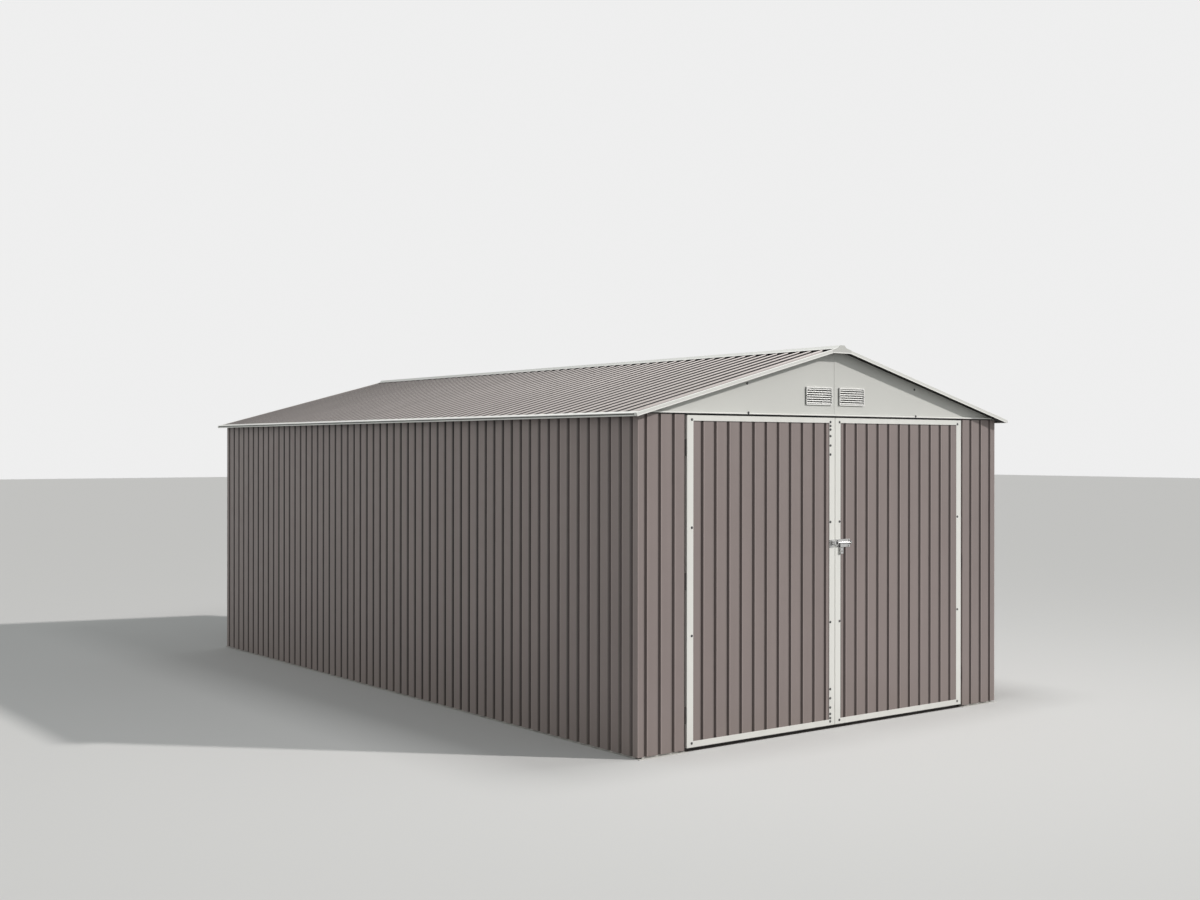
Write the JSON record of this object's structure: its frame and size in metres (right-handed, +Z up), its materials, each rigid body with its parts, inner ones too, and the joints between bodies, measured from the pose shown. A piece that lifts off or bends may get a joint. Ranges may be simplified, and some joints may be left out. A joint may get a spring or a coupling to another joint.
{
  "type": "metal garage",
  "caption": "Gable-roofed garden garage of ribbed steel sheet with a pair of hinged doors, a slide bolt and louvre vents in the gables.",
  "frame": {"origin": "on the ground, below the middle of the roof", "axes": "+Z up; -Y is the end with the doors; +X to the right seen from in front of the doors"},
  "size_m": [3.3954, 6.128, 2.4756],
  "materials": {
    "wall_sheet": "satin taupe paint on ribbed steel",
    "roof_sheet": "satin taupe-grey paint on ribbed steel",
    "white_trim": "satin off-white paint",
    "eave_trim": "satin pale grey paint",
    "jamb_paint": "dark taupe paint",
    "galvanised_frame": "zinc-coated steel with a faint spangle",
    "hinge_metal": "zinc-plated steel",
    "latch_metal": "bright zinc-plated steel"
  },
  "bodies": {
    "garage": {"back_base_rail": "galvanised_frame", "back_gable": "white_trim", "back_header": "galvanised_frame", "back_rake_trims": "white_trim", "back_vents": "white_trim", "back_wall": "wall_sheet", "corner_posts": "galvanised_frame", "cross_ties": "galvanised_frame", "door_header": "galvanised_frame", "door_jambs": "jamb_paint", "door_sill": "jamb_paint", "eave_trim_left": "eave_trim", "eave_trim_right": "eave_trim", "front_base_rails": "galvanised_frame", "front_gable": "white_trim", "front_panel_left": "wall_sheet", "front_panel_right": "wall_sheet", "front_rake_trims": "white_trim", "front_vents": "white_trim", "jamb_hinges": "hinge_metal", "left_wall": "wall_sheet", "mid_rails": "galvanised_frame", "purlins": "galvanised_frame", "rafters": "galvanised_frame", "ridge_beam": "galvanised_frame", "ridge_cap": "white_trim", "ridge_end_caps": "white_trim", "right_wall": "wall_sheet", "roof_left": "roof_sheet", "roof_right": "roof_sheet", "side_base_rails": "galvanised_frame", "side_top_rails": "galvanised_frame"},
    "left_door": {"left_door_stiles": "white_trim", "left_door_rails": "white_trim", "left_door_panel": "wall_sheet", "left_door_braces": "galvanised_frame", "left_door_hinges": "hinge_metal", "latch_keeper": "latch_metal"},
    "right_door": {"right_door_stiles": "white_trim", "right_door_rails": "white_trim", "right_door_panel": "wall_sheet", "right_door_braces": "galvanised_frame", "right_door_hinges": "hinge_metal", "latch_plate": "latch_metal"},
    "latch_bolt": {"latch_bolt": "latch_metal"}
  },
  "joints": [
    {"name": "left_door_swing", "type": "hinge", "parent": "garage", "child": "left_door", "pos_m": [-1.26375, -2.99275, 1.0155], "axis": [0, 0, -1], "range_deg": [0, 110]},
    {"name": "right_door_swing", "type": "hinge", "parent": "garage", "child": "right_door", "pos_m": [1.26375, -2.99275, 1.0155], "axis": [0, 0, 1], "range_deg": [0, 110]},
    {"name": "bolt_slide", "type": "slide", "parent": "right_door", "child": "latch_bolt", "axis": [-1, 0, 0], "range_m": [0, 0.022]}
  ]
}
